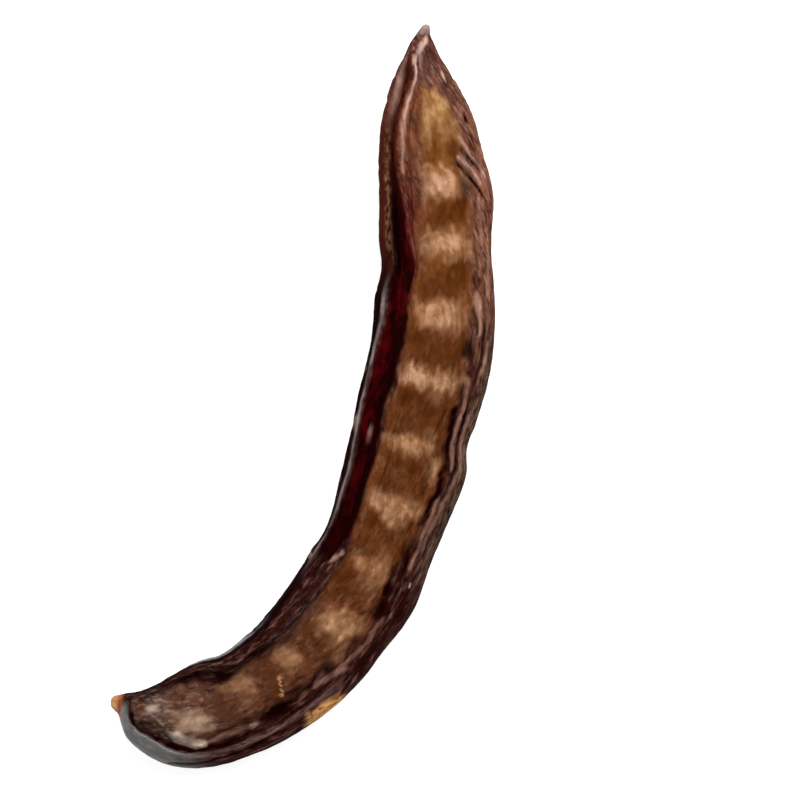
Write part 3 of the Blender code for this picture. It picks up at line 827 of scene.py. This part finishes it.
def skin_values(skin):
    """What the material needs to know at every point."""
    ragged = 0.45 * skin.noise(5, 1.2, 89) + 0.25 * skin.noise(1.8, 0.9, 137)
    values = {"straight": skin.straight, "face": face_mask(skin, ragged)}
    values.update(left_rim_masks(skin, ragged))
    values.update(right_rim_masks(skin, ragged))
    values["worn_and_highlight"] = patches(skin, WORN_AND_HIGHLIGHT_PATCHES, skin.half)
    values["worn_gold"] = patches(skin, GOLD_PATCHES, skin.half)
    values["dark_and_shade"] = patches(skin, DARK_AND_SHADE_PATCHES, skin.half)
    values["painted_shade"] = painted_shade_mask(skin)
    stalk_blush = 0.45 * hump(8.8, 2.2, skin.half) * hump(7.0, 3.4, skin.distance)
    values["blush"] = np.maximum(lines(skin, LIGHT_LINES), stalk_blush)
    values["olive_end"] = smooth_step(143, 150, skin.distance + 5 * skin.noise(4, 3.5, 73))
    values["pale"] = patches(skin, PALE_DUST_AND_HIGHLIGHT_PATCHES, skin.place)
    rubbed = patches(skin, RUBBED_PATCHES, skin.place)
    values["rubbed"] = np.maximum(rubbed, lines(skin, RUBBED_LINES) * skin.upper)
    gloss = 0.10 + 0.5 * values["worn_and_highlight"] + values["blush"] + values["pink_highlight"] + values["end_reflection"]
    gloss *= (1 - values["hollow"]) * (1 - values["painted_shade"])
    values["gloss"] = np.clip(gloss, 0, 1)
    return values


class Nodes:
    """Short ways to add and join the nodes of one material."""

    def __init__(self, name):
        self.material = bpy.data.materials.new(name)
        self.material.use_nodes = True
        self.tree = self.material.node_tree
        self.shader = self.tree.nodes["Principled BSDF"]

    def put(self, socket, value):
        """Joins an output to the socket, or sets the socket to a plain value."""
        if isinstance(value, bpy.types.NodeSocket):
            self.tree.links.new(value, socket)
        else:
            socket.default_value = value

    def add(self, kind, inputs, **settings):
        """Adds a node with these settings, fills its inputs and returns its outputs."""
        node = self.tree.nodes.new(kind)
        for name, value in settings.items():
            setattr(node, name, value)
        for name, value in inputs.items():
            self.put(node.inputs[name], value)
        return node.outputs

    def attribute(self, name, output="Fac"):
        return self.add("ShaderNodeAttribute", {}, attribute_name=name)[output]

    def stretched(self, length, width, shift=0.0, slant=0.0):
        """A place on the straightened pod, in units of this length and this width.

        The slant turns the length by this many degrees away from the pod's own length.
        """
        inputs = {
            "Vector": self.attribute("straight", "Vector"),
            "Location": (shift, shift, shift),
            "Rotation": (0.0, 0.0, math.radians(slant)),
            "Scale": (length, width, width),
        }
        return self.add("ShaderNodeMapping", inputs, vector_type="TEXTURE")["Vector"]

    def noise(self, length, width, detail=3.0, shift=0.0, roughness=0.55, slant=0.0):
        """Noise from 0 to 1, in features of this length and width in millimetres."""
        place = self.stretched(length, width, shift, slant)
        inputs = {"Vector": place, "Scale": 1.0, "Detail": detail, "Roughness": roughness}
        return self.add("ShaderNodeTexNoise", inputs)["Fac"]

    def spread(self, value, low, high, to_low=0.0, to_high=1.0):
        """Takes low to to_low and high to to_high, and stays between them."""
        inputs = {"Value": value, "From Min": low, "From Max": high}
        inputs.update({"To Min": to_low, "To Max": to_high})
        return self.add("ShaderNodeMapRange", inputs)["Result"]

    def vary(self, pattern, least, most):
        """Takes noise to the range from least to most."""
        return self.spread(pattern, *NOISE_RANGE, least, most)

    def flecks(self, length, width, shift, low, high, most=1.0, detail=4.0, slant=0.0):
        """Flecks of this size: nothing where their noise is under low, and most over high."""
        pattern = self.noise(length, width, detail, shift, slant=slant)
        return self.spread(pattern, low, high, 0.0, most)

    def math(self, operation, first, second):
        return self.add("ShaderNodeMath", {0: first, 1: second}, operation=operation)["Value"]

    def product(self, first, second):
        return self.math("MULTIPLY", first, second)

    def distance(self):
        """How far a point is from the stalk's end, in millimetres."""
        inputs = {"Vector": self.attribute("straight", "Vector")}
        return self.add("ShaderNodeSeparateXYZ", inputs)["X"]

    def bump(self, height, strength, distance):
        inputs = {"Height": height, "Strength": strength, "Distance": distance}
        return self.add("ShaderNodeBump", inputs)["Normal"]

    def grey(self, value):
        return self.add("ShaderNodeCombineColor", {0: value, 1: value, 2: value})["Color"]

    def mix(self, share, first, second, blend="MIX"):
        """The first colour, with this share of the second one."""
        inputs = {"Factor": share, "A": first, "B": second}
        return self.add("ShaderNodeMix", inputs, data_type="RGBA", blend_type=blend)["Result"]


def face_colour(nodes, distance, clouds):
    """The plain face: golden near the stalk end, and dull, flecked and cracked at the blunt one."""
    colour = nodes.mix(nodes.spread(distance, *FACE_BROWN_START), GOLDEN_BROWN, FACE_BROWN)
    colour = nodes.mix(nodes.spread(distance, *FACE_END_START), colour, END_BROWN)
    olive = nodes.attribute("olive_end")
    colour = nodes.mix(olive, colour, END_OLIVE)
    dust = nodes.flecks(1.8, 0.7, 71.0, 0.50, 0.68, most=0.34)
    colour = nodes.mix(nodes.product(olive, dust), colour, PALE_DUST_AND_HIGHLIGHT)
    blunt = nodes.spread(distance, *FACE_FLECKS_START, 0.35, 1.0)
    pale = nodes.flecks(1.9, 1.0, 111.0, 0.50, 0.74, most=0.34)
    colour = nodes.mix(nodes.product(blunt, pale), colour, BAND_PALE)
    cracks = nodes.flecks(1.7, 0.6, 117.0, 0.52, 0.66, most=0.75)
    colour = nodes.mix(nodes.product(blunt, cracks), colour, CRACK_BROWN)
    patchy = nodes.flecks(2.6, 1.9, 83.0, 0.50, 0.68, most=0.45, detail=3.0)
    colour = nodes.mix(patchy, colour, DEEP_BROWN)
    return nodes.mix(clouds, colour, DEEP_BROWN)


def crease_rims(nodes, distance, colour):
    """Lays fine creases and light ridges over the rims' colour, aslant near the stalk end.

    The creases are painted shade, and the ridges are wear with painted highlight.
    """
    depth = nodes.spread(distance, *CREASES_START, 0.5, 1.0)
    fading = nodes.spread(distance, *RIDGES_END, 1.0, 0.5)
    fading = nodes.product(fading, nodes.spread(nodes.attribute("inner"), 0.0, 1.0, 1.0, 0.4))
    blush = nodes.mix(nodes.spread(distance, *RIDGE_MAUVE_START), RIM_BLUSH, RIM_MAUVE)
    slanted = nodes.spread(distance, *STRAIGHT_CREASES_START, 1.0, 0.0)
    straight = nodes.spread(distance, *STRAIGHT_CREASES_START)
    for here, slant in ((slanted, CREASE_SLANT), (straight, 0.0)):
        crease_shade = nodes.flecks(4.0, 0.7, 41.0, 0.50, 0.64, most=0.90, detail=3.0, slant=slant)
        crease_shade = nodes.product(here, nodes.product(crease_shade, depth))
        colour = nodes.mix(crease_shade, colour, RIM_CREASE_SHADE)
        ridge = nodes.flecks(3.0, 0.6, 61.0, 0.50, 0.68, most=0.60, detail=3.0, slant=slant)
        ridge = nodes.product(here, nodes.product(ridge, fading))
        colour = nodes.mix(ridge, colour, blush)
    return colour


def rim_colour(nodes, distance, clouds):
    """The plain rims, from plum and rose at the stalk end to umber at the blunt one."""
    colour = nodes.mix(nodes.spread(distance, *RIM_ROSE_START), RIM_PLUM, RIM_ROSE)
    colour = nodes.mix(nodes.spread(distance, *RIM_BROWN_START), colour, RIM_BROWN)
    colour = nodes.mix(nodes.spread(distance, *RIM_UMBER_START), colour, RIM_UMBER)
    lip = nodes.mix(nodes.spread(distance, *LIP_RED_START), LIP_BROWN, LIP_RED)
    for name, mark in (("inner", lip), ("olive", RIM_OLIVE), ("mauve", RIM_MAUVE)):
        colour = nodes.mix(nodes.attribute(name), colour, mark)
    colour = nodes.mix(clouds, colour, RIM_BLACK)
    colour = crease_rims(nodes, distance, colour)
    blunt = nodes.spread(distance, *RIM_SPECKS_START, 0.30, 1.0)
    specks = nodes.flecks(1.5, 0.8, 123.0, 0.50, 0.66, most=0.85)
    colour = nodes.mix(nodes.product(blunt, specks), colour, RIM_BLACK)
    blush = nodes.flecks(3.4, 0.8, 129.0, 0.54, 0.74, most=0.42)
    colour = nodes.mix(nodes.product(blunt, blush), colour, RIM_BLUSH)
    # Painted shade on the lower lip's outer side, painted silver reflection, and painted grey
    # reflection round the blunt end.
    outside = nodes.mix(nodes.spread(distance, *OUTSIDE_SHADE_START), LIP_OUTSIDE_SHADE, RIM_BLACK)
    for name, mark in (("outside", outside), ("silver_reflection", LIP_SILVER_REFLECTION), ("end_reflection", END_REFLECTION_GREY)):
        colour = nodes.mix(nodes.attribute(name), colour, mark)
    return colour


def skin_colour(nodes, distance, mottle):
    """The skin's colour with every mark on it, before its fibre and grain."""
    clouds = nodes.flecks(6.0, 3.0, 17.0, 0.48, 0.66, most=0.5, detail=3.0)
    blotch = nodes.spread(nodes.noise(3.2, 2.4, detail=2.0, shift=97.0), 0.35, 0.65, 0.70, 1.20)
    broken = nodes.product(blotch, nodes.vary(mottle, 0.80, 1.15))

    def ragged(name, low, high):
        """One of the skin's masks, with its edge broken up by noise."""
        return nodes.spread(nodes.product(nodes.attribute(name), broken), low, high)

    rims = rim_colour(nodes, distance, clouds)
    colour = nodes.mix(nodes.attribute("face"), rims, face_colour(nodes, distance, clouds))
    for name, low, high, mark in MARKS:
        colour = nodes.mix(ragged(name, low, high), colour, mark)
    rubbed = nodes.flecks(1.2, 0.8, 135.0, 0.30, 0.48)
    rubbed = nodes.product(ragged("rubbed", 0.10, 0.70), rubbed)
    colour = nodes.mix(rubbed, colour, RUBBED_ORANGE)

    # Painted shade fills the hollow, brown near the stalk and black beyond and in flecks, among the
    # skin's dark red patches.
    inside = nodes.mix(nodes.spread(distance, *HOLLOW_SHADE_BLACK_START), HOLLOW_SHADE_BROWN, HOLLOW_SHADE_BLACK)
    inside = nodes.mix(ragged("red", 0.05, 0.95), inside, HOLLOW_RED)
    shadow = nodes.flecks(3.0, 0.9, 141.0, 0.48, 0.64, most=0.85)
    inside = nodes.mix(shadow, inside, HOLLOW_SHADE_BLACK)
    colour = nodes.mix(nodes.attribute("hollow"), colour, inside)
    # Painted highlights along the lower lip's edge, lilac and in golden beads.
    colour = nodes.mix(nodes.attribute("lilac_highlight"), colour, LIP_LILAC_HIGHLIGHT)
    beads = nodes.flecks(1.3, 0.5, 53.0, 0.42, 0.60, most=0.85, detail=3.0)
    colour = nodes.mix(nodes.product(nodes.attribute("lip_gold_highlight"), beads), colour, LIP_GOLD_HIGHLIGHT)
    # Painted pink highlights on the crests and lips.
    colour = nodes.mix(nodes.attribute("pink_highlight"), colour, PINK_HIGHLIGHT)

    colour = nodes.mix(nodes.spread(distance, *STALK_GREY_END, 1.0, 0.0), colour, STALK_GREY)
    beak = nodes.mix(nodes.spread(distance, *BEAK_TAN_START), BEAK_RED, BEAK_TAN)
    return nodes.mix(nodes.spread(distance, *BEAK_START), colour, beak)


def skin_material():
    """The whole pod's one material."""
    nodes = Nodes("pod skin")
    fibre = nodes.noise(4.0, 1.0, detail=4.0, shift=3.0, roughness=0.6)
    mottle = nodes.noise(1.6, 1.3, detail=4.0, shift=29.0, roughness=0.65)
    grain = nodes.noise(0.7, 0.5, detail=3.0, shift=9.0, roughness=0.6)
    colour = skin_colour(nodes, nodes.distance(), mottle)
    streaks = nodes.mix(
        nodes.attribute("face"),
        nodes.grey(nodes.vary(fibre, 0.70, 1.30)),
        nodes.grey(nodes.vary(fibre, 0.90, 1.10)),
    )
    mottled = nodes.vary(mottle, 0.82, 1.18)
    specks = nodes.vary(grain, 0.92, 1.08)
    light = nodes.grey(nodes.product(mottled, specks))
    shaded = nodes.mix(1.0, nodes.mix(1.0, colour, streaks, "MULTIPLY"), light, "MULTIPLY")

    shader = nodes.shader.inputs
    dull = nodes.product(nodes.attribute("hollow"), HOLLOW_ROUGHNESS)
    roughness = nodes.math("ADD", nodes.vary(grain, *ROUGHNESS), dull)
    nodes.put(shader["Base Color"], shaded)
    nodes.put(shader["Roughness"], roughness)
    nodes.put(shader["Specular IOR Level"], 0.0)
    nodes.put(shader["Coat Weight"], nodes.product(nodes.attribute("gloss"), COAT_WEIGHT))
    nodes.put(shader["Coat Roughness"], COAT_ROUGHNESS)
    nodes.put(shader["Normal"], nodes.bump(mottle, MOTTLE_BUMP_STRENGTH, MOTTLE_BUMP_HEIGHT))
    return nodes.material


def add_object(name, data):
    """Puts a new object with this mesh, light or camera into the scene."""
    added = bpy.data.objects.new(name, data)
    bpy.context.scene.collection.objects.link(added)
    return added


def add_pod():
    skin = Skin()
    values = skin_values(skin)
    skin.raise_by(skin_relief(skin))
    pod = add_object("pod_skin", skin.mesh(values))
    pod.data.materials.append(skin_material())
    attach(pod, "root")
    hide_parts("pod")


def add_floor():
    mesh = bpy.data.meshes.new("floor")
    turns = ((-1, -1), (1, -1), (1, 1), (-1, 1))
    corners = [(x * FLOOR_HALF, y * FLOOR_HALF, 0.0) for x, y in turns]
    mesh.from_pydata(corners, [], [(0, 1, 2, 3)])
    material = bpy.data.materials.new("pale floor")
    material.use_nodes = True
    shader = material.node_tree.nodes["Principled BSDF"]
    shader.inputs["Base Color"].default_value = FLOOR_GREY
    shader.inputs["Roughness"].default_value = FLOOR_ROUGHNESS
    shader.inputs["Emission Color"].default_value = (1.0, 1.0, 1.0, 1.0)
    shader.inputs["Emission Strength"].default_value = FLOOR_GLOW
    mesh.materials.append(material)
    floor = add_object("floor", mesh)


def add_light(name, place, size, watts):
    """A square soft light at this place, aimed at the origin."""
    lamp = bpy.data.lights.new(name, "AREA")
    lamp.size = size
    lamp.energy = watts
    light = add_object(name, lamp)
    light.location = place
    light.rotation_euler = Vector(place).to_track_quat("Z", "Y").to_euler()


def add_lighting():
    for name, place, size, watts in LIGHTS:
        add_light(name, place, size, watts)
    world = bpy.data.worlds.new("studio")
    world.use_nodes = True
    background = world.node_tree.nodes["Background"]
    background.inputs["Color"].default_value = STUDIO_COLOUR
    background.inputs["Strength"].default_value = STUDIO_STRENGTH
    bpy.context.scene.world = world


def add_camera():
    camera = bpy.data.cameras.new("camera")
    camera.lens = CAMERA_LENS
    camera.clip_start = CAMERA_CLIP
    holder = add_object("camera", camera)
    holder.location = CAMERA_PLACE
    bpy.context.scene.camera = holder


add_pod()
add_floor()
add_lighting()
add_camera()
bpy.context.scene.view_settings.view_transform = "Standard"
